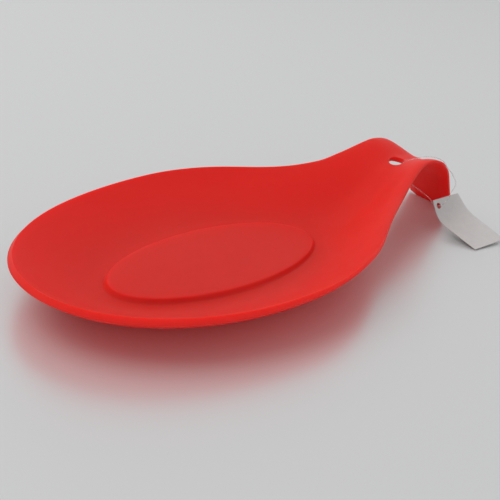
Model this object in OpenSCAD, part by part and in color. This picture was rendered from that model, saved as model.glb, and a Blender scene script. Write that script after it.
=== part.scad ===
// Spoon rest: one moulding of soft silicone with a shallow almond-shaped bowl,
// a raised oval plateau in it and a grooved handle whose end bends down to the
// table like a hook. A paper tag hangs on it by a clear snap-in loop.
// Lengths are in millimetres. +X runs from the tip of the bowl to the handle's
// end, +Z is up, and the origin is on the table under the middle of the length.

/* [Bowl] */
// Overall length from the tip of the bowl to the end of the handle
length = 212; // [160:1:270]
// Width over the rim at the widest place
bowl_w = 101.8; // [80:0.1:140]
// Distance from the tip to the widest place
widest_at = 79; // [60:1:100]
// Height of the rim's upper edge at the tip
rim_h = 15.7; // [10:0.1:24]
// Thickness of the silicone
wall_t = 2.2; // [1.6:0.1:3.2]
// Width of the flat ring on which the bowl stands
foot_ring_w = 3; // [1:0.5:6]

/* [Plateau] */
// Length of the raised oval
plateau_l = 90.6; // [60:0.2:110]
// Width of the raised oval
plateau_w = 41.4; // [30:0.2:60]
// Distance from the tip to the middle of the oval
plateau_at = 76.8; // [70:0.1:90]
// Height of the step up to the oval
plateau_h = 1.9; // [1:0.1:3]
// Width of the rounded step around the oval
step_w = 1.8; // [1:0.1:3]

/* [Handle] */
// Height of the handle's two edges
crest_h = 31.1; // [28:0.1:38]
// Height of the groove's floor
groove_h = 26.5; // [22:0.1:29]
// Radius of the edges where the handle bends down
bend_r = 27; // [22:0.5:31]
// Radius of the groove where the handle bends down
groove_bend_r = 20; // [14:0.5:24]
// Slope of the bent-down end in degrees
leg_slope = 57; // [50:0.5:62]

/* [Hanging hole] */
// Diameter of the hanging hole
hole_d = 7; // [4:0.1:8]
// Distance from the end of the handle to the hole
hole_back = 36.5; // [34:0.5:40]

/* [Tag and loop] */
// Width of the paper tag
tag_w = 19.5; // [16:0.5:30]
// Length of the paper tag
tag_l = 30; // [28:0.5:40]
// Thickness of the paper tag
tag_t = 0.4; // [0.3:0.05:0.8]
// Slope of the tag at its top edge in degrees
tag_slope = 56; // [40:1:70]
// Slope of the tag past its bend in degrees
tag_rest_slope = 12; // [8:0.5:16]
// How much less steep the tag's top is at its far side in degrees
tag_twist = 18; // [6:1:22]
// Drop of the tag's top edge to its far corner in degrees
tag_tilt = 0.5; // [0:0.5:1]
// Drop of the tag's bottom edge to its far corner in degrees
tag_foot_tilt = 3; // [2:0.5:4]
// Distance of the tag's punched corner from the end of the handle
tag_back = 29; // [28:0.5:30]
// Gap between the tag's top edge and the side of the handle
tag_gap = 2.8; // [2.4:0.1:3.2]
// Diameter of the hole punched in the tag
punch_d = 2.8; // [2.4:0.1:4]
// Distance from the tag's edges to the middle of the punched hole
punch_in = 3; // [2.5:0.1:6]
// Diameter of the loop's clear filament
filament_d = 0.5; // [0.4:0.05:0.8]
// Diameter of the socket in which the loop snaps shut
socket_d = 2.6; // [2.2:0.1:4]

/* [Hidden] */
$fn = 48;

// Widths over the rim past the widest place, as shares of the half width there,
// at shares of the distance from there to the end
side_at_shares = [-0.229, 0, 0.229, 0.467, 0.679, 0.85, 1];
side_w_shares = [0.874, 1, 0.874, 0.5435, 0.329, 0.288, 0.225];
// Rise of the rim towards the handle, at shares of the length
rise_at_shares = [0, 0.236, 0.472, 0.613, 0.708, 0.755, 0.802, 0.83, 1];
rise_shares = [0, 0, 0.109, 0.153, 0.366, 0.63, 0.909, 1, 1];
// Rise of the groove's floor from the bowl's floor, at shares of the length
groove_at_shares = [0.5, 0.59, 0.64, 0.69, 0.74, 0.79, 0.83, 0.86, 1];
groove_shares = [0, 0, 0.055, 0.22, 0.5, 0.84, 0.985, 1, 1];
// The groove's flat floor, as a share of the handle's width
groove_share = 0.12;

// How steeply the bowl's wall curls up towards the rim
wall_power = 1.75;
// Roundness of the outline round the tip: 2 is an ellipse, more is squarer
tip_power = 2.08;
half_w = bowl_w / 2;
// The rim's lower corner stands out past its upper edge by this much
lip = wall_t * 0.65;
tip_l = widest_at - lip;
neck_at = length * 0.5;
join_at = length * 0.66;
fold_at = length * 0.8;
floor_top = wall_t;
mid = length / 2;
tiny = 0.01;
inset = 1 - tiny;

function mix(a, b, t) = a + (b - a) * t;
function limit(t) = min(max(t, 0), 1);
function ease(t) = limit(t) * limit(t) * (3 - 2 * limit(t));

// Smooth curve through stations xs with values ys
function slope(xs, ys, i) =
    let (a = max(i - 1, 0), b = min(i + 1, len(xs) - 1))
    (ys[b] - ys[a]) / (xs[b] - xs[a]);
function span(xs, x, i = 0) =
    (i >= len(xs) - 2 || x < xs[i + 1]) ? i : span(xs, x, i + 1);
function through(xs, ys, x) =
    let (i = span(xs, x),
         h = xs[i + 1] - xs[i],
         t = limit((x - xs[i]) / h),
         a = slope(xs, ys, i) * h,
         b = slope(xs, ys, i + 1) * h)
    ys[i] * (2 * t ^ 3 - 3 * t ^ 2 + 1) + a * (t ^ 3 - 2 * t ^ 2 + t)
    + ys[i + 1] * (3 * t ^ 2 - 2 * t ^ 3) + b * (t ^ 3 - t ^ 2);

// Half the width over the rim at distance x from the tip
function half_width(x) = x < widest_at
    ? half_w * max(1 - ((widest_at - x) / tip_l) ^ tip_power, 0) ^ (1 / tip_power)
    : half_w * through(side_at_shares, side_w_shares, (x - widest_at) / (length - widest_at));
function edge_z(x) = mix(rim_h, crest_h, through(rise_at_shares, rise_shares, x / length));
function groove_z(x) = mix(floor_top, groove_h, through(groove_at_shares, groove_shares, x / length));

// Distance from the oval and from the rim, along the line from the oval's middle
function oval_gap(x, y) =
    let (dx = x - plateau_at,
         k = norm([dx / (plateau_l / 2), y / (plateau_w / 2)]))
    k <= 1 ? 0 : norm([dx, y]) * (1 - 1 / k);
function rim_gap(x, y) = x < widest_at
    ? let (dx = widest_at - x,
           e = ((dx / tip_l) ^ tip_power + (abs(y) / half_w) ^ tip_power) ^ (1 / tip_power))
      e < tiny ? tip_l : max(norm([dx, y]) * (1 / e - 1), 0)
    : max(half_width(x) - abs(y), 0);

// Height of the bowl's and neck's upper face over the point x, y
function bowl_z(x, y) =
    let (outer = max(oval_gap(x, y) - step_w - foot_ring_w, 0),
         inner = rim_gap(x, y),
         rise = outer <= 0 ? 0 : outer / (outer + inner))
    floor_top + plateau_h * (1 - ease(oval_gap(x, y) / step_w))
    + (edge_z(x) - floor_top) * rise ^ wall_power;

// Cross-section of the handle at share s of the half width: a groove that
// rises to the two edges
function lift(s) = ease((abs(s) - groove_share) / (1 - groove_share));
function handle_z(x, s) = mix(groove_z(x), edge_z(x), lift(s));
function fold_share(x) = ease((x - neck_at) / (fold_at - neck_at));

// Upper face at distance x from the tip and share s across, from -1 to 1
function skin(x, s) =
    let (y = half_width(x) * s)
    [x, y, mix(bowl_z(x, y), handle_z(x, s), fold_share(x))];

// A level line at height z that bends down with radius r and ends on the table
// at the end of the handle: t runs 0 to 1 round the bend and 1 to 2 down the leg
function bend_low(z, r) = z - r * (1 - cos(leg_slope));
function bend_end(z, r) = length - bend_low(z, r) / tan(leg_slope);
function bend_start(z, r) = bend_end(z, r) - r * sin(leg_slope);
function bend_point(z, r, t) = t < 1
    ? [bend_start(z, r) + r * sin(t * leg_slope), z - r * (1 - cos(t * leg_slope))]
    : [mix(bend_end(z, r), length, t - 1), mix(bend_low(z, r), 0, t - 1)];
groove_end = bend_start(groove_h, groove_bend_r);
crest_end = bend_start(crest_h, bend_r);

// Upper face of the handle at share s across: t runs 0 to 1 along the neck,
// 1 to 2 round the bend and 2 to 3 down to the foot
function handle_point(t, s) = t < 1
    ? skin(mix(join_at, mix(groove_end, crest_end, lift(s)), t), s)
    : let (p = mix(bend_point(groove_h, groove_bend_r, t - 1), bend_point(crest_h, bend_r, t - 1), lift(s)))
      [p[0], half_width(p[0]) * s, p[1]];

// Points of the upper face: rings around the oval, then rows along the handle
rim_steps = 60;
cross_steps = 28;
neck_rows = 8;
bend_rows = 10;
leg_rows = 5;
row_steps = neck_rows + bend_rows + leg_rows;
step_rings = 4;
wall_rings = 8;
around = rim_steps + cross_steps;
last_ring = step_rings + 1 + wall_rings;
function outline(i) = i <= rim_steps
    ? let (g = 2 * i / rim_steps - 1, x = mix(lip, join_at, abs(g) ^ 1.8))
      [x, half_width(x) * (g < 0 ? 1 : -1)]
    : [join_at, half_width(join_at) * (2 * (i - rim_steps) / cross_steps - 1)];
function oval_point(p) =
    let (dx = p[0] - plateau_at, k = norm([dx / (plateau_l / 2), p[1] / (plateau_w / 2)]))
    [plateau_at + dx / k, p[1] / k];
function ring_point(k, i) =
    let (p = outline(i), q = oval_point(p), reach = norm(p - q), clear = step_w + foot_ring_w,
         out = k <= step_rings ? step_w * k / step_rings
             : mix(clear, reach, (k - step_rings - 1) / wall_rings))
    mix(q, p, out / reach);
function on_bowl(p) = skin(p[0], half_width(p[0]) > 0 ? p[1] / half_width(p[0]) : 0);
function row_t(r) = r <= neck_rows ? r / neck_rows
    : r <= neck_rows + bend_rows ? 1 + (r - neck_rows) / bend_rows
    : 2 + (r - neck_rows - bend_rows) / leg_rows;
function column(j) = 2 * j / cross_steps - 1;

// Unit normals of the upper face, taken just inside the rim at the last ring
probe = length / 2000;
function bowl_normal(p, k) =
    let (m = k < last_ring ? 1 : inset, a = mix(plateau_at, p[0], m), b = p[1] * m,
         n = cross(on_bowl([a + probe, b]) - on_bowl([a - probe, b]),
                   on_bowl([a, b + probe]) - on_bowl([a, b - probe])))
    n / norm(n);
function handle_normal(t, s) =
    let (a = min(t, 3 - tiny), b = min(max(s, -inset), inset),
         n = cross(handle_point(a + tiny, b) - handle_point(a - tiny, b),
                   handle_point(a, b + tiny) - handle_point(a, b - tiny)))
    n / norm(n);

upper_ring_points = [for (k = [0:last_ring], i = [0:around - 1])
    on_bowl(ring_point(k, i))];
ring_normals = [for (k = [0:last_ring], i = [0:around - 1])
    bowl_normal(ring_point(k, i), k)];
upper_row_points = [for (r = [1:row_steps], j = [0:cross_steps]) handle_point(row_t(r), column(j))];
row_normals = [for (r = [1:row_steps], j = [0:cross_steps]) handle_normal(row_t(r), column(j))];
upper = concat([[plateau_at, 0, floor_top + plateau_h]], upper_ring_points, upper_row_points);
normals = concat([[0, 0, 1]], ring_normals, row_normals);
// The lower face stands out past the rim's upper edge round the bowl, and less
// and less towards the handle. What is nearly on the table is level with it
sole_h = wall_t / 25;
function lip_at(x) = lip * (1 - ease((x - widest_at) / (fold_at - widest_at)));
function trimmed(x, y) = x < widest_at ? y
    : max(min(y, half_width(x) + lip_at(x)), -half_width(x) - lip_at(x));
lower = [for (i = [0:len(upper) - 1])
    let (p = upper[i] - wall_t * normals[i])
    [p[0], trimmed(p[0], p[1]), p[2] < sole_h ? 0 : p[2]]];
count = len(upper);

// Numbers of the points in a ring and in a row of the handle
function in_ring(k, i) = 1 + k * around + i % around;
function in_row(r, j) = r == 0 ? in_ring(last_ring, rim_steps + j)
    : 1 + (last_ring + 1) * around + (r - 1) * (cross_steps + 1) + j;
function quad(a, b, c, d) = [[a, b, c], [a, c, d]];
upper_faces = concat(
    [for (i = [0:around - 1]) [0, in_ring(0, i + 1), in_ring(0, i)]],
    [for (k = [0:last_ring - 1], i = [0:around - 1])
        each quad(in_ring(k, i), in_ring(k, i + 1), in_ring(k + 1, i + 1), in_ring(k + 1, i))],
    [for (r = [0:row_steps - 1], j = [0:cross_steps - 1])
        each quad(in_row(r, j), in_row(r, j + 1), in_row(r + 1, j + 1), in_row(r + 1, j))]);
edge = concat(
    [for (i = [0:rim_steps]) in_ring(last_ring, i)],
    [for (r = [1:row_steps]) in_row(r, 0)],
    [for (j = [1:cross_steps]) in_row(row_steps, j)],
    [for (r = [row_steps - 1:-1:1]) in_row(r, cross_steps)]);
edge_faces = [for (i = [0:len(edge) - 1])
    let (a = edge[i], b = edge[(i + 1) % len(edge)])
    each quad(a, b, b + count, a + count)];
lower_faces = [for (f = upper_faces) [f[2] + count, f[1] + count, f[0] + count]];

hole_x = length - hole_back;
hole_slope = atan((groove_z(hole_x + probe) - groove_z(hole_x - probe)) / (2 * probe));

module silicone_rest() {
    color("#cc2823") difference() {
        translate([-mid, 0, 0])
            polyhedron(concat(upper, lower), concat(upper_faces, edge_faces, lower_faces));
        translate([hole_x - mid, 0, groove_z(hole_x)]) rotate([0, -hole_slope, 0])
            cylinder(d = hole_d, h = wall_t * 4, center = true);
    }
}

// Tag: a strip that leaves its punched corner steeply and levels out, with its
// lowest corner on the table
tag_steps = 16;
tag_columns = 6;
// Where the tag's bend starts and how long it is, as shares of its length
tag_bend_at_share = 0.12;
tag_bend_share = 0.38;
function tag_pitch(t, c) = mix(tag_slope - tag_twist * c / tag_columns, tag_rest_slope,
    ease((t - tag_bend_at_share) / tag_bend_share));
function tag_run(k, c) = k == 0 ? [0, 0]
    : let (a = tag_pitch((k - 0.5) / tag_steps, c), d = tag_l / tag_steps)
      tag_run(k - 1, c) + [d * cos(a), d * sin(a)];
function tag_drop(t) = mix(tag_tilt, tag_foot_tilt, t);
tag_top_z = max([for (c = [0:tag_columns])
    tag_run(tag_steps, c)[1] + tag_w * c / tag_columns * sin(tag_foot_tilt)]) + tag_t;
tag_top_y = -half_width(length - tag_back) - tag_gap;
function tag_point(k, c) =
    let (a = tag_drop(k / tag_steps), w = tag_w * c / tag_columns, p = tag_run(k, c))
    [length - tag_back - mid + w * cos(a), tag_top_y - p[0], tag_top_z - p[1] - w * sin(a)];
function tag_normal(k, c) =
    let (a = tag_pitch(k / tag_steps, c)) [0, -sin(a), cos(a)];
tag_front = [for (k = [0:tag_steps], c = [0:tag_columns]) tag_point(k, c) + tag_normal(k, c) * tag_t / 2];
tag_rear = [for (k = [0:tag_steps], c = [0:tag_columns]) tag_point(k, c) - tag_normal(k, c) * tag_t / 2];
tag_count = len(tag_front);
function on_tag(k, c) = k * (tag_columns + 1) + c;
tag_front_faces = [for (k = [0:tag_steps - 1], c = [0:tag_columns - 1])
    each quad(on_tag(k, c), on_tag(k, c + 1), on_tag(k + 1, c + 1), on_tag(k + 1, c))];
tag_edge = concat(
    [for (k = [0:tag_steps]) on_tag(k, 0)],
    [for (c = [1:tag_columns]) on_tag(tag_steps, c)],
    [for (k = [tag_steps - 1:-1:0]) on_tag(k, tag_columns)],
    [for (c = [tag_columns - 1:-1:1]) on_tag(0, c)]);
tag_edge_faces = [for (i = [0:len(tag_edge) - 1])
    let (a = tag_edge[i], b = tag_edge[(i + 1) % len(tag_edge)])
    each quad(a, b, b + tag_count, a + tag_count)];
tag_rear_faces = [for (f = tag_front_faces)
    [f[2] + tag_count, f[1] + tag_count, f[0] + tag_count]];
punch_pitch = tag_pitch(punch_in / tag_l, punch_in / tag_w * tag_columns);
punch_at = tag_point(0, 0) + [punch_in * cos(tag_tilt), -punch_in * cos(punch_pitch),
    -punch_in * (sin(punch_pitch) + sin(tag_tilt))];

module hang_tag() {
    color("#d9d6d2") difference() {
        polyhedron(concat(tag_front, tag_rear), concat(tag_front_faces, tag_edge_faces, tag_rear_faces));
        translate(punch_at) rotate([punch_pitch, 0, 0])
            cylinder(d = punch_d, h = tag_t * 8, center = true);
    }
}

// The loop's route, from the socket's far end up through the hanging hole, over
// the near hump, down its side, through the tag and back to the socket
loop_route = [
    [71, -2, 19.5], [70.5, -2, 20.9], [70, -2.4, 22.6], [69.8, -2.8, 24.4], [70, -2.9, 26],
    [70.6, -4.1, 27.5], [71.4, -6.3, 28.8], [72.8, -9.2, 30.3], [74.6, -12.1, 31.4], [76.8, -15, 31.5],
    [79.3, -17.2, 30.1], [81, -18.3, 27.8], [84, -19.6, 25], [85, -20, 23.7], [85.8, -21, 22],
    [87, -21.2, 19.5], [86.6, -21, 17.6], [85.9, -20.6, 15.6], [84.8, -21, 13.8],
    [82.8, -21.4, 12.4], [81.1, -21.2, 11.4], [80.2, -20.6, 10.7], [80, -19.8, 10.2],
    [79.9, -18.6, 9.9], [79.8, -17, 10.4], [79.5, -14.2, 12], [78.4, -10.5, 13.6],
    [76.8, -8, 15], [75, -6, 16.2]
];
tube_sides = 8;
last = len(loop_route) - 1;
// Smooth curve through the route's points, in steps between them
route_steps = 2;
function route_slope(i) = (loop_route[min(i + 1, last)] - loop_route[max(i - 1, 0)])
    / (min(i + 1, last) - max(i - 1, 0));
function route_point(u) =
    let (i = min(floor(u), last - 1), t = u - i, p = loop_route[i], q = loop_route[i + 1],
         a = route_slope(i), b = route_slope(i + 1))
    p * (2 * t ^ 3 - 3 * t ^ 2 + 1) + a * (t ^ 3 - 2 * t ^ 2 + t)
    + q * (3 * t ^ 2 - 2 * t ^ 3) + b * (t ^ 3 - t ^ 2);
route = [for (i = [0:last * route_steps]) route_point(i / route_steps)];
route_count = len(route);
function route_way(i) =
    let (d = route[min(i + 1, route_count - 1)] - route[max(i - 1, 0)]) d / norm(d);
// A frame carried along the route without twist
function carried(i, n) =
    let (d = route_way(i), m = n - d * (n * d)) m / norm(m);
function frames(i, n) = i >= route_count ? []
    : let (m = carried(i, n)) concat([m], frames(i + 1, m));
route_frames = frames(0, [0, 0, 1]);
function tube_ring(i) =
    [for (k = [0:tube_sides - 1])
        let (a = 360 * k / tube_sides, n = route_frames[i], b = cross(route_way(i), n))
        route[i] + (n * cos(a) + b * sin(a)) * filament_d / 2];
tube_points = [for (i = [0:route_count - 1]) each tube_ring(i)];
function on_tube(i, k) = i * tube_sides + k % tube_sides;
tube_faces = concat(
    [[for (k = [0:tube_sides - 1]) k]],
    [for (i = [0:route_count - 2], k = [0:tube_sides - 1])
        each quad(on_tube(i, k), on_tube(i + 1, k), on_tube(i + 1, k + 1), on_tube(i, k + 1))],
    [[for (k = [tube_sides - 1:-1:0]) on_tube(route_count - 1, k)]]);

module tag_loop() {
    color("#dfe6e8") polyhedron(tube_points, tube_faces);
}

// Places a piece of the lock between the loop's two ends, along +Z
module at_lock() {
    way = loop_route[0] - loop_route[last];
    translate(loop_route[last]) rotate([0, acos(way[2] / norm(way)), atan2(way[1], way[0])]) children();
}
lock_l = norm(loop_route[0] - loop_route[last]);
bore_share = 0.62;
bore_d = socket_d * bore_share;
lip_share = 0.12;
lip_l = lock_l * lip_share;
snap_gap = 0.1;
barb_l = lock_l - lip_l * 2;

module loop_socket() {
    color("#d5dde0") at_lock() difference() {
        cylinder(d = socket_d, h = lock_l);
        translate([0, 0, lip_l]) cylinder(d = bore_d, h = barb_l);
    }
}

module loop_barb() {
    barb_d = bore_d - snap_gap * 2;
    color("#e6ecee") at_lock() translate([0, 0, lip_l]) {
        cylinder(d = filament_d * 1.4, h = barb_l);
        translate([0, 0, barb_l / 3]) cylinder(d1 = filament_d * 1.4, d2 = barb_d, h = barb_l / 3);
    }
}

silicone_rest();
hang_tag();
tag_loop();
loop_socket();
loop_barb();
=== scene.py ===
# %% [markdown]
# A spoon rest is one moulding of soft silicone: a shallow almond-shaped bowl with a raised oval in it,
# and a handle that bends down to the table like a hook. A shop tag hangs on it by a clear plastic loop.
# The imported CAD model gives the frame: everything here is in metres, in the same place as the solids.

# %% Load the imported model
import math
import bmesh
import bpy
from mathutils import Matrix, Vector


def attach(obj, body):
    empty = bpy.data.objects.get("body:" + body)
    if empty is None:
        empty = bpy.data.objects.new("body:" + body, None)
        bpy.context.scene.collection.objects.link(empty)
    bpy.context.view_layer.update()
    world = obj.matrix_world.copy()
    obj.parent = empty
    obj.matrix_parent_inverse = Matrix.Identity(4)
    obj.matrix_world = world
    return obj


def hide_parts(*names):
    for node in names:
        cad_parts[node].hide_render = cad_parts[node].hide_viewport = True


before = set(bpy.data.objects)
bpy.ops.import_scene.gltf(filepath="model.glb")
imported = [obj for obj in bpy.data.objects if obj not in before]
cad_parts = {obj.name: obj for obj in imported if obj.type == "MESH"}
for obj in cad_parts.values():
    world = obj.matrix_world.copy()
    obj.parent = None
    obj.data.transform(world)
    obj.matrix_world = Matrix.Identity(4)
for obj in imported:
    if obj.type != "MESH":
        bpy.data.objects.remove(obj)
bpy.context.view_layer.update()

# %% [markdown]
# The camera stands where the photographer stood: low, in front of the bowl and to its left, with the
# camera tilted a little. A camera could be aimed by a Track To constraint, but that can't hold the tilt,
# so its three axes are worked out from the viewing angle, the height and the roll.

# %% Camera at the photograph's angle
view_turn = math.radians(-44.742)
view_height = math.radians(27.514)
view_roll = math.radians(7.792)
view_target = Vector((-0.013749, -0.000402, 0.002702))
view_distance = 0.272156
film_w = 36
lens_l = 51.118
nearest_seen = 0.01
back = Vector((math.sin(view_turn) * math.cos(view_height),
               -math.cos(view_turn) * math.cos(view_height), math.sin(view_height)))
level_right = (-back).cross(Vector((0, 0, 1))).normalized()
level_up = level_right.cross(-back)
right = level_right * math.cos(view_roll) + level_up * math.sin(view_roll)
up = level_up * math.cos(view_roll) - level_right * math.sin(view_roll)
camera_data = bpy.data.cameras.new("photo_camera")
camera_data.sensor_width = film_w
camera_data.lens = lens_l
camera_data.clip_start = nearest_seen
camera = bpy.data.objects.new("photo_camera", camera_data)
camera.matrix_world = Matrix((right, up, back)).transposed().to_4x4()
camera.location = view_target + back * view_distance
bpy.context.collection.objects.link(camera)
bpy.context.scene.camera = camera
print("camera at", [round(c, 4) for c in camera.location])

# %% [markdown]
# The tag's loop is a clear nylon filament, half a millimetre thick and about 70 mm long. It comes up
# through the hanging hole, goes over the handle's near edge, through the tag and back to its lock
# under the handle. A curve with a round bevel is the natural way to model it: its own line is the
# filament's centre. The route's points are the ones that the CAD model uses.

# %% Route of the filament
mm = 0.001
filament_d = 0.5
route_points = [
    (71, -2, 19.5), (70.5, -2, 20.9), (70, -2.4, 22.6), (69.8, -2.8, 24.4), (70, -2.9, 26),
    (70.6, -4.1, 27.5), (71.4, -6.3, 28.8), (72.8, -9.2, 30.3), (74.6, -12.1, 31.4), (76.8, -15, 31.5),
    (79.3, -17.2, 30.1), (81, -18.3, 27.8), (84, -19.6, 25), (85, -20, 23.7), (85.8, -21, 22),
    (87, -21.2, 19.5), (86.6, -21, 17.6), (85.9, -20.6, 15.6), (84.8, -21, 13.8),
    (82.8, -21.4, 12.4), (81.1, -21.2, 11.4), (80.2, -20.6, 10.7), (80, -19.8, 10.2),
    (79.9, -18.6, 9.9), (79.8, -17, 10.4), (79.5, -14.2, 12), (78.4, -10.5, 13.6),
    (76.8, -8, 15), (75, -6, 16.2),
]


def smooth_line(points, steps):
    """Points of a smooth curve through the given points."""
    points = [Vector(p) for p in points]
    last = len(points) - 1

    def way(i):
        low = max(i - 1, 0)
        high = min(i + 1, last)
        return (points[high] - points[low]) / (high - low)

    line = []
    for i in range(last):
        for step in range(steps):
            t = step / steps
            line.append(points[i] * (2 * t ** 3 - 3 * t ** 2 + 1) + way(i) * (t ** 3 - 2 * t ** 2 + t)
                        + points[i + 1] * (3 * t ** 2 - 2 * t ** 3) + way(i + 1) * (t ** 3 - t ** 2))
    return line + [points[last]]


steps_between = 5
route = [p * mm for p in smooth_line(route_points, steps_between)]
filament_length = sum((b - a).length for a, b in zip(route, route[1:]))
print("filament length in mm:", round(filament_length / mm, 1))

# %% Filament
filament_curve = bpy.data.curves.new("tag_filament", "CURVE")
filament_curve.dimensions = "3D"
filament_curve.bevel_depth = 1
filament_curve.bevel_resolution = 3
filament_curve.use_fill_caps = True
spline = filament_curve.splines.new("POLY")
spline.points.add(len(route) - 1)
for point, place in zip(spline.points, route):
    point.co = (*place, 1)
    point.radius = filament_d / 2 * mm
filament = bpy.data.objects.new("tag_filament", filament_curve)
bpy.context.collection.objects.link(filament)
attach(filament, "loop")
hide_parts("tag_loop")
print("filament points:", len(spline.points))

# %% [markdown]
# The silicone's form is a set of simple rules in millimetres: half the width at each distance from
# the tip, the height of the rim, the height of the groove, and how the two blend. Sculpting could
# reach the same form, but rules keep the moulding exactly symmetric and in step with the CAD model.

# %% Sizes of the moulding in millimetres
length = 212
mid = length / 2
bowl_w = 101.8
widest_at = 79
rim_h = 15.7
wall_t = 2.2
foot_ring_w = 3
plateau_l = 90.6
plateau_w = 41.4
plateau_at = 76.8
plateau_h = 1.9
step_w = 1.8
crest_h = 31.1
groove_h = 26.5
bend_r = 27
groove_bend_r = 20
leg_slope = math.radians(57)
hole_d = 7
hole_back = 36.5
half_w = bowl_w / 2
lip = wall_t * 0.65
tip_l = widest_at - lip
tip_power = 2.08
wall_power = 1.75
neck_at = length * 0.5
join_at = length * 0.66
fold_at = length * 0.8


def mix(a, b, t):
    """The value at share t of the way from a to b."""
    return a + (b - a) * t


def limit(t):
    """t held between 0 and 1."""
    return min(max(t, 0), 1)


def ease(t):
    """A smooth step from 0 to 1."""
    t = limit(t)
    return t * t * (3 - 2 * t)


def through(stations, values, x):
    """Smooth curve through values at stations."""
    def slope(i):
        low = max(i - 1, 0)
        high = min(i + 1, len(stations) - 1)
        return (values[high] - values[low]) / (stations[high] - stations[low])

    i = 0
    while i < len(stations) - 2 and x >= stations[i + 1]:
        i += 1
    h = stations[i + 1] - stations[i]
    t = limit((x - stations[i]) / h)
    return (values[i] * (2 * t ** 3 - 3 * t ** 2 + 1) + slope(i) * h * (t ** 3 - 2 * t ** 2 + t)
            + values[i + 1] * (3 * t ** 2 - 2 * t ** 3) + slope(i + 1) * h * (t ** 3 - t ** 2))


# %% Stations of the outline and of the heights, as shares
side_at_shares = [-0.229, 0, 0.229, 0.467, 0.679, 0.85, 1]
side_w_shares = [0.874, 1, 0.874, 0.5435, 0.329, 0.288, 0.225]
rise_at_shares = [0, 0.236, 0.472, 0.613, 0.708, 0.755, 0.802, 0.83, 1]
rise_shares = [0, 0, 0.109, 0.153, 0.366, 0.63, 0.909, 1, 1]
groove_at_shares = [0.5, 0.59, 0.64, 0.69, 0.74, 0.79, 0.83, 0.86, 1]
groove_shares = [0, 0, 0.055, 0.22, 0.5, 0.84, 0.985, 1, 1]
groove_floor_share = 0.12


# %% Outline and heights along the length
def half_width(x):
    """Half the width over the rim at distance x from the tip."""
    if x < widest_at:
        return half_w * max(1 - (min(widest_at - x, tip_l) / tip_l) ** tip_power, 0) ** (1 / tip_power)
    return half_w * through(side_at_shares, side_w_shares, (x - widest_at) / (length - widest_at))


def edge_z(x):
    """Height of the rim and of the handle's edges."""
    return mix(rim_h, crest_h, through(rise_at_shares, rise_shares, x / length))


def groove_z(x):
    """Height of the groove's floor."""
    return mix(wall_t, groove_h, through(groove_at_shares, groove_shares, x / length))


print("half width at the neck:", round(half_width(join_at), 1), "mm")


# %% [markdown]
# The bowl's floor is level round the oval and its wall curls up towards the rim. How far a point has
# gone from the oval to the rim decides its height, so the same rule works all the way round.

# %% Height of the bowl
def oval_gap(x, y):
    """Distance from the oval, along the line from its middle."""
    dx = x - plateau_at
    k = math.hypot(dx / (plateau_l / 2), y / (plateau_w / 2))
    return 0 if k <= 1 else math.hypot(dx, y) * (1 - 1 / k)


middle_share = 0.01


def rim_gap(x, y):
    """Distance from the rim, which at the middle of the widest place is the whole way to the tip."""
    if x >= widest_at:
        return max(half_width(x) - abs(y), 0)
    dx = widest_at - x
    e = ((dx / tip_l) ** tip_power + (abs(y) / half_w) ** tip_power) ** (1 / tip_power)
    return tip_l if e < middle_share else max(math.hypot(dx, y) * (1 / e - 1), 0)


def bowl_z(x, y):
    """Height of the bowl's upper face."""
    outer = max(oval_gap(x, y) - step_w - foot_ring_w, 0)
    rise = outer / (outer + rim_gap(x, y)) if outer > 0 else 0
    return (wall_t + plateau_h * (1 - ease(oval_gap(x, y) / step_w))
            + (edge_z(x) - wall_t) * rise ** wall_power)


# %% [markdown]
# Across the handle the groove rises to the two edges. Along the handle both lines run level, bend
# down with a radius and end on the table, as a hook does.

# %% Height of the handle
def lift(s):
    """Rise from the groove's floor to the edges, at share s of the half width."""
    return ease((abs(s) - groove_floor_share) / (1 - groove_floor_share))


def skin(x, s):
    """Upper face at distance x from the tip and share s across."""
    y = half_width(x) * s
    handle = mix(groove_z(x), edge_z(x), lift(s))
    return Vector((x, y, mix(bowl_z(x, y), handle, ease((x - neck_at) / (fold_at - neck_at)))))


def bend_line(z, r, t):
    """A level line at height z that bends down: t runs 0 to 1 round the bend, 1 to 2 to the table."""
    low = z - r * (1 - math.cos(leg_slope))
    end = length - low / math.tan(leg_slope)
    if t < 1:
        return Vector((end - r * (math.sin(leg_slope) - math.sin(t * leg_slope)), 0,
                       z - r * (1 - math.cos(t * leg_slope))))
    return Vector((mix(end, length, t - 1), 0, mix(low, 0, t - 1)))


def handle_point(t, s):
    """Upper face of the handle: t runs 0 to 1 along the neck, 1 to 2 round the bend, 2 to 3 to the foot."""
    groove = bend_line(groove_h, groove_bend_r, t - 1)
    crest = bend_line(crest_h, bend_r, t - 1)
    if t < 1:
        start = mix(bend_line(groove_h, groove_bend_r, 0)[0], bend_line(crest_h, bend_r, 0)[0], lift(s))
        return skin(mix(join_at, start, t), s)
    place = groove.lerp(crest, lift(s))
    place[1] = half_width(place[0]) * s
    return place


# %% [markdown]
# A moulding with an even wall is best made as one sheet that gets its thickness afterwards. A grid
# from the bmesh operator is laid onto the rules: one strip runs round the oval from its middle to the
# rim, the other runs down the handle. Merging doubles closes the seams, and the normals are checked.

# %% Helper that lays a grid onto a rule
def laid_grid(mesh, across, along, place):
    """A grid whose points are placed by shares u across and v along, from 0 to 1."""
    made = bmesh.ops.create_grid(mesh, x_segments=across, y_segments=along, size=1)
    shares = {}
    for vertex in made["verts"]:
        u = (vertex.co.x + 1) / 2
        v = (vertex.co.y + 1) / 2
        shares[vertex] = (u, v)
        vertex.co = place(u, v)
    return shares


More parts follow.
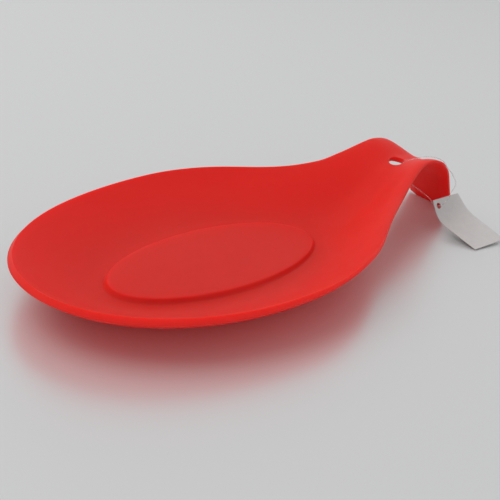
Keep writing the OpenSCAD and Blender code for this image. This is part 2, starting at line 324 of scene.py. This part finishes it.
# %% Points round the bowl
rim_steps = 120
cross_steps = 44
around = rim_steps + cross_steps
tip_crowding = 1.8
oval_rings = 5
step_rings = 6
wall_rings = 16
clear = step_w + foot_ring_w
ring_stops = [(-1, j / oval_rings) for j in range(oval_rings)]
ring_stops += [(0, step_w * j / step_rings) for j in range(step_rings)]
ring_stops += [(0, step_w), (0, step_w + foot_ring_w / 2)]
ring_stops += [(1, j / wall_rings) for j in range(wall_rings + 1)]
print("rings of the bowl:", len(ring_stops))


def outline(i):
    """Point i round the bowl's outline, closed across the neck."""
    if i <= rim_steps:
        g = 2 * i / rim_steps - 1
        x = mix(lip, join_at, abs(g) ** tip_crowding)
        return Vector((x, half_width(x) * (1 if g < 0 else -1)))
    return Vector((join_at, half_width(join_at) * (2 * (i - rim_steps) / cross_steps - 1)))


def bowl_point(u, v):
    """Point of the bowl at share u round it and share v from the oval's middle to the rim."""
    p = outline(round(u * around) % around)
    dx = p[0] - plateau_at
    k = math.hypot(dx / (plateau_l / 2), p[1] / (plateau_w / 2))
    q = Vector((plateau_at + dx / k, p[1] / k))
    zone, share = ring_stops[round(v * (len(ring_stops) - 1))]
    reach = (p - q).length
    if zone < 0:
        flat = Vector((plateau_at, 0)).lerp(q, share)
    else:
        flat = q.lerp(p, (share if zone == 0 else mix(clear, reach, share)) / reach)
    width = half_width(flat[0])
    return skin(flat[0], flat[1] / width if width > 0 else 0)


# %% Sheet of the whole moulding
rest_mesh = bmesh.new()
laid_grid(rest_mesh, around, len(ring_stops) - 1, bowl_point)
neck_rows = 44
bend_rows = 24
leg_rows = 14
handle_rows = neck_rows + bend_rows + leg_rows
foot_share = 1 - wall_t * math.cos(leg_slope) / (crest_h - bend_r * (1 - math.cos(leg_slope)))


def handle_rule(u, v):
    """Point of the handle at share u across and share v along it."""
    row = round(v * handle_rows)
    if row <= neck_rows:
        t = row / neck_rows
    elif row <= neck_rows + bend_rows:
        t = 1 + (row - neck_rows) / bend_rows
    else:
        t = 2 + (row - neck_rows - bend_rows) / leg_rows * foot_share
    return handle_point(t, 2 * round(u * cross_steps) / cross_steps - 1)


seam_gap = 0.01
laid_grid(rest_mesh, cross_steps, handle_rows, handle_rule)
bmesh.ops.remove_doubles(rest_mesh, verts=rest_mesh.verts, dist=seam_gap)
bmesh.ops.recalc_face_normals(rest_mesh, faces=rest_mesh.faces)
if sum(f.normal.z for f in rest_mesh.faces) < 0:
    bmesh.ops.reverse_faces(rest_mesh, faces=rest_mesh.faces)
print("sheet:", len(rest_mesh.faces), "faces, open edges:", sum(e.is_boundary for e in rest_mesh.edges))


# %% [markdown]
# The hanging hole is moulded in the groove. A Boolean would leave long thin faces round it, so the
# faces inside the circle are deleted and the points on the open edge are moved out onto the circle.

# %% Helper that opens a round hole
inside_share = 0.96
ring_share = 1.6


def open_hole(mesh, flat, place, radius):
    """Opens a hole of that radius round the origin of the flat coordinates."""
    def reach(face):
        return sum((flat(v) for v in face.verts), Vector((0, 0))).length / len(face.verts)

    inside = [f for f in mesh.faces if reach(f) < radius * inside_share]
    bmesh.ops.delete(mesh, geom=inside, context="FACES")
    ring = [v for v in mesh.verts if v.is_boundary and flat(v).length < radius * ring_share]
    places = [place(flat(v).normalized() * radius) for v in ring]
    for vertex, spot in zip(ring, places):
        vertex.co = spot
    return len(ring)


# %% Hanging hole
hole_x = length - hole_back
half_step = 0.5
hole_slope = math.atan((groove_z(hole_x + half_step) - groove_z(hole_x - half_step)) / (2 * half_step))
hole_tilt = math.cos(hole_slope)
ring_size = open_hole(
    rest_mesh,
    lambda v: Vector(((v.co.x - hole_x) / hole_tilt, v.co.y)),
    lambda p: skin(hole_x + p[0] * hole_tilt, p[1] / half_width(hole_x + p[0] * hole_tilt)),
    hole_d / 2)
print("points round the hanging hole:", ring_size, "tilt:", round(math.degrees(hole_slope), 1))

# %% [markdown]
# Solidify gives the wall its 2.2 mm below the sheet, less along the rim and the handle's edges, where
# the mould tapers. Bevel rounds them and the hole almost to a half circle, and one level of
# Subdivision smooths the rest. All three stay live, so the edge radius can still be changed.

# %% Helpers that make an object and give it a wall
def finished(name, mesh, body, nodes):
    bmesh.ops.scale(mesh, vec=(mm, mm, mm), verts=mesh.verts)
    data = bpy.data.meshes.new(name)
    mesh.to_mesh(data)
    mesh.free()
    data.shade_smooth()
    piece = bpy.data.objects.new(name, data)
    bpy.context.collection.objects.link(piece)
    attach(piece, body)
    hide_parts(*nodes)
    return piece


sharp_angle = 45


def walled(piece, thickness, offset, round_by, segments, smoothing):
    """Adds a wall, rounded edges and smoothing to a sheet."""
    wall = piece.modifiers.new("wall", "SOLIDIFY")
    wall.thickness = thickness * mm
    wall.offset = offset
    wall.use_even_offset = True
    edges = piece.modifiers.new("edges", "BEVEL")
    edges.width = round_by * mm
    edges.segments = segments
    edges.limit_method = "ANGLE"
    edges.angle_limit = math.radians(sharp_angle)
    if smoothing:
        smooth = piece.modifiers.new("smooth", "SUBSURF")
        smooth.levels = smoothing
        smooth.render_levels = smoothing


# %% Wall of the moulding
rim_round = 0.95
rim_taper_w = 5
edge_share = 0.5
taper_from = 30
thickness_layer = rest_mesh.verts.layers.deform.verify()
for vertex in rest_mesh.verts:
    near_rim = ease(1 - rim_gap(vertex.co.x, vertex.co.y) / rim_taper_w)
    along = ease((vertex.co.x - taper_from) / (neck_at - taper_from))
    vertex[thickness_layer][0] = mix(1, edge_share, near_rim * along)
bmesh.ops.translate(rest_mesh, vec=(-mid, 0, 0), verts=rest_mesh.verts)
rest = finished("rest_moulding", rest_mesh, "rest", ["silicone_rest"])
rest.vertex_groups.new(name="thickness")
walled(rest, wall_t, -1, rim_round, 4, 1)
rest.modifiers["wall"].vertex_group = "thickness"
print("moulding box in mm:", [round(c / mm, 1) for c in rest.dimensions])

# %% [markdown]
# The tag is a strip of thin card that leaves its punched corner steeply and levels out on the table.
# Its far side is less steep, so the card is slightly twisted, as real card is. It could be simulated
# as cloth, but card is stiff: a strip laid on a rule keeps its straight cut edges. It is drawn 0.3 mm
# thick, a little thinner than the 0.4 mm of the solid whose place it takes.

# %% Tag
tag_w = 19.5
tag_l = 30
tag_t = 0.4
tag_slope = 56
tag_rest_slope = 12
tag_twist = 18
tag_tilt = 0.5
tag_foot_tilt = 3
tag_back = 29
tag_gap = 2.8
punch_d = 2.8
punch_in = 3
tag_bend_at_share = 0.12
tag_bend_share = 0.38
card_t = 0.3
card_round = 0.06
tag_rows = 40
tag_columns = 26
tag_steps = 60
tag_tries = 6


def tag_pitch(t, c):
    """Slope of the card at share t down it and share c across it."""
    levelled = ease((t - tag_bend_at_share) / tag_bend_share)
    return math.radians(mix(tag_slope - tag_twist * c, tag_rest_slope, levelled))


def tag_run(t, c):
    """How far the card has gone outwards and down at share t."""
    steps = max(round(t * tag_steps), 1)
    angles = [tag_pitch((k + 0.5) / steps * t, c) for k in range(steps)]
    part = tag_l * t / steps
    return Vector((sum(math.cos(a) for a in angles) * part, sum(math.sin(a) for a in angles) * part))


foot_drop = tag_w * math.sin(math.radians(tag_foot_tilt))
tag_low = max(tag_run(1, c / tag_tries)[1] + foot_drop * c / tag_tries for c in range(tag_tries + 1))
tag_corner = Vector((length - tag_back - mid, -half_width(length - tag_back) - tag_gap, tag_low + tag_t))


def tag_place(flat):
    """Place of a point of the flat card, in millimetres from its punched corner."""
    tilt = math.radians(mix(tag_tilt, tag_foot_tilt, flat[1] / tag_l))
    run = tag_run(flat[1] / tag_l, flat[0] / tag_w)
    return tag_corner + Vector((flat[0] * math.cos(tilt), -run[0], -run[1] - flat[0] * math.sin(tilt)))


tag_mesh = bmesh.new()
tag_shares = laid_grid(tag_mesh, tag_columns, tag_rows, lambda u, v: tag_place((u * tag_w, v * tag_l)))
open_hole(tag_mesh,
          lambda v: Vector((tag_shares[v][0] * tag_w - punch_in, tag_shares[v][1] * tag_l - punch_in)),
          lambda p: tag_place((p[0] + punch_in, p[1] + punch_in)), punch_d / 2)
bmesh.ops.recalc_face_normals(tag_mesh, faces=tag_mesh.faces)
tag = finished("paper_tag", tag_mesh, "tag", ["hang_tag"])
walled(tag, card_t, 0, card_round, 2, 0)
print("tag box in mm:", [round(c / mm, 1) for c in tag.dimensions])

# %% [markdown]
# The loop's lock is a small tube into which a barb snaps. Both are turned parts, so a profile is
# spun round its axis, the seam is merged, and the piece is turned into place between the two ends
# of the filament.

# %% Lock of the loop
lock_from = Vector(route_points[-1])
lock_to = Vector(route_points[0])
lock_l = (lock_to - lock_from).length
lock_steps = 32
lock_turn = (lock_to - lock_from).to_track_quat("Z", "Y").to_matrix()


def turned(name, profile, node):
    """A closed profile of (radius, height) points, spun round the lock's axis."""
    mesh = bmesh.new()
    points = [mesh.verts.new((r, 0, z)) for r, z in profile]
    edges = [mesh.edges.new((a, b)) for a, b in zip(points, points[1:])]
    bmesh.ops.spin(mesh, geom=points + edges, cent=(0, 0, 0), axis=(0, 0, 1), dvec=(0, 0, 0),
                   angle=math.tau, steps=lock_steps, use_merge=True, use_duplicate=False)
    bmesh.ops.remove_doubles(mesh, verts=mesh.verts, dist=seam_gap / 2)
    bmesh.ops.recalc_face_normals(mesh, faces=mesh.faces)
    bmesh.ops.rotate(mesh, cent=(0, 0, 0), matrix=lock_turn, verts=mesh.verts)
    bmesh.ops.translate(mesh, vec=lock_from, verts=mesh.verts)
    return finished(name, mesh, "loop", [node])


# %% Socket and barb
socket_d = 2.6
bore_share = 0.62
lip_share = 0.12
lip_l = lock_l * lip_share
socket_r = socket_d / 2
bore_r = socket_r * bore_share
socket = turned("lock_socket", [
    (0, 0), (0.8, 0), (1.15, 0.12), (socket_r, 0.4), (socket_r, 2.1), (1.18, 2.3), (1.18, 2.7),
    (socket_r, 2.9), (socket_r, lock_l - 0.4), (1.15, lock_l - 0.12), (0.8, lock_l), (0, lock_l)],
    "loop_socket")
barb = turned("lock_barb", [
    (0, lip_l), (0.35, lip_l), (0.35, lip_l + 1.6), (0.5, lip_l + 1.8), (bore_r - 0.1, lip_l + 3.1),
    (0.35, lip_l + 3.25), (0.35, lock_l - lip_l), (0, lock_l - lip_l)], "loop_barb")
print("lock length in mm:", round(lock_l, 2))
tuple(route[0])


# %% [markdown]
# Materials and the sky are networks of nodes. Writing them as expressions is easier to read than
# linking nodes one by one, so one small class lets a socket be added and multiplied like a number, and
# one method makes any other node.

# %% Helpers for the materials
class Share:
    """A socket that can be used in sums and products."""

    def __init__(self, finish, socket):
        self.finish = finish
        self.socket = socket

    def join(self, operation, first, second):
        return self.finish.node("ShaderNodeMath", {"operation": operation}, {0: first, 1: second})

    def __add__(self, other):
        return self.join("ADD", self, other)

    def __radd__(self, other):
        return self.join("ADD", other, self)

    def __mul__(self, other):
        return self.join("MULTIPLY", self, other)

    def __rmul__(self, other):
        return self.join("MULTIPLY", other, self)


class Finish:
    """The shader nodes of a material or of the sky."""

    def __init__(self, owner):
        self.owner = owner
        self.owner.use_nodes = True
        self.tree = self.owner.node_tree
        self.tree.nodes.clear()

    def node(self, kind, settings, values, output=0):
        """Makes a node: its settings first, then the values or links of its sockets."""
        node = self.tree.nodes.new(kind)
        for name, value in settings.items():
            setattr(node, name, value)
        for name, value in values.items():
            if isinstance(value, Share):
                self.tree.links.new(value.socket, node.inputs[name])
            else:
                node.inputs[name].default_value = value
        return Share(self, node.outputs[output]) if len(node.outputs) else None

    def place(self):
        """Object coordinates, in metres."""
        return self.node("ShaderNodeTexCoord", {}, {}, "Object")

    def noise(self, scale, detail=2.0, stretch=(1, 1, 1)):
        """Soft random values from 0 to 1 at that many grains a metre."""
        spot = self.node("ShaderNodeMapping", {}, {"Vector": self.place(), "Scale": stretch})
        return self.node("ShaderNodeTexNoise", {}, {"Vector": spot, "Scale": scale, "Detail": detail}, 0)

    def blend(self, share, first, second):
        """Mixes two colours."""
        return self.node("ShaderNodeMix", {"data_type": "RGBA"}, {0: share, 6: first, 7: second}, 2)

    def bump(self, height, strength, distance):
        """Normals of a surface with that fine relief."""
        return self.node("ShaderNodeBump", {}, {"Height": height, "Strength": strength, "Distance": distance})

    def surface(self, values):
        """The finished surface."""
        shader = self.node("ShaderNodeBsdfPrincipled", {}, values)
        self.node("ShaderNodeOutputMaterial", {}, {"Surface": shader})

    def onto(self, *pieces):
        """Puts the material on pieces."""
        for piece in pieces:
            piece.data.materials.clear()
            piece.data.materials.append(self.owner)


# %% [markdown]
# Moulded silicone is satin, slightly see-through at its edges and never quite even. The colour is one
# red with a slow drift to a second one, the roughness drifts too, and a very fine relief breaks up the
# highlights. Light that enters a little and comes out again is the shader's own subsurface part.

# %% Red silicone
silicone = Finish(bpy.data.materials.new("red_silicone"))
drift = silicone.noise(28, 2)
grain = silicone.noise(2600, 3)
haze = silicone.noise(140, 4)
silicone.surface({
    "Base Color": silicone.blend(drift, (0.74, 0.017, 0.012, 1), (0.79, 0.023, 0.016, 1)),
    "Roughness": 0.44 + haze * 0.10 + grain * 0.05,
    "Normal": silicone.bump(grain, 0.12, 0.00006),
    "Subsurface Weight": 0.9,
    "Subsurface Radius": (1.0, 0.10, 0.07),
    "Subsurface Scale": 0.012,
    "Specular IOR Level": 0.2,
})
silicone.onto(rest)
print("nodes of the silicone:", len(silicone.tree.nodes))

# %% [markdown]
# The card is uncoated paper: off-white, matt, with short fibres that lie along the sheet and a little
# mottling. Two stretched noises give the fibres, and the same values raise them by a hair.

# %% Paper of the tag
paper = Finish(bpy.data.materials.new("tag_card"))
fibres = paper.noise(1500, 3, (1, 0.25, 1)) * 0.6 + paper.noise(1500, 3, (0.25, 1, 1)) * 0.4
mottle = paper.noise(220, 3)
paper.surface({
    "Base Color": paper.blend(fibres * 0.7 + mottle * 0.3, (0.52, 0.50, 0.49, 1), (0.70, 0.68, 0.67, 1)),
    "Roughness": 0.72 + fibres * 0.15,
    "Normal": paper.bump(fibres, 0.25, 0.00005),
    "Specular IOR Level": 0.3,
})
paper.onto(tag)
print("nodes of the card:", len(paper.tree.nodes))

# %% [markdown]
# The loop and its lock are moulded nylon: clear, a little milky, with a soft gloss.

# %% Clear nylon
nylon = Finish(bpy.data.materials.new("clear_nylon"))
milk = nylon.noise(900, 2)
nylon.surface({
    "Base Color": nylon.blend(milk, (0.70, 0.72, 0.73, 1), (0.82, 0.84, 0.85, 1)),
    "Roughness": 0.16 + milk * 0.12,
    "Normal": nylon.bump(milk, 0.1, 0.00003),
    "Transmission Weight": 0.7,
    "Alpha": 0.28,
    "IOR": 1.53,
})
nylon.onto(filament, socket, barb)
print("nodes of the nylon:", len(nylon.tree.nodes))

# %% [markdown]
# The rest stands on a pale, polished board that takes its shadow and a soft red reflection.
# One large lamp from the back left and an even sky light it softly. The sky that the camera and the
# reflections see is the same pale grey as the board, so there is no edge in the background. The lamp
# isn't seen in reflections, or the polished board would show it as a glare from above.

# %% Floor
floor_reach = 3
floor_drop = 0.00003
floor_mesh = bmesh.new()
bmesh.ops.create_grid(floor_mesh, x_segments=1, y_segments=1, size=floor_reach)
bmesh.ops.translate(floor_mesh, vec=(0, 0, -floor_drop), verts=floor_mesh.verts)
floor_data = bpy.data.meshes.new("floor")
floor_mesh.to_mesh(floor_data)
floor_mesh.free()
floor = bpy.data.objects.new("floor", floor_data)
bpy.context.collection.objects.link(floor)
board = Finish(bpy.data.materials.new("pale_board"))
board.surface({
    "Base Color": (0.71, 0.715, 0.72, 1),
    "Metallic": 0.5,
    "Roughness": 0.33,
})
board.onto(floor)
print("floor reaches", floor_reach, "m each way")

# %% Lamp and sky
lamp_data = bpy.data.lights.new("soft_lamp", "AREA")
lamp_data.size = 1.1
lamp_data.energy = 9.5
lamp = bpy.data.objects.new("soft_lamp", lamp_data)
lamp.location = (-0.45, 0.55, 1.1)
lamp.rotation_euler = (-lamp.location).to_track_quat("-Z", "Y").to_euler()
lamp.visible_glossy = False
bpy.context.collection.objects.link(lamp)
sky = Finish(bpy.data.worlds.new("pale_sky"))
bpy.context.scene.world = sky.owner
camera_ray = sky.node("ShaderNodeLightPath", {}, {}, "Is Camera Ray")
glossy_ray = sky.node("ShaderNodeLightPath", {}, {}, "Is Glossy Ray")
through_ray = sky.node("ShaderNodeLightPath", {}, {}, "Is Transmission Ray")
light_sky = sky.node("ShaderNodeBackground", {}, {"Color": (1, 1, 1, 1), "Strength": 0.57})
seen_sky = sky.node("ShaderNodeBackground", {}, {"Color": (0.69, 0.69, 0.69, 1), "Strength": 1})
seen = camera_ray + glossy_ray + through_ray
both = sky.node("ShaderNodeMixShader", {}, {0: seen, 1: light_sky, 2: seen_sky})
sky.node("ShaderNodeOutputWorld", {}, {"Surface": both})
bpy.context.scene.view_settings.view_transform = "Standard"
print("nodes of the sky:", len(sky.tree.nodes))
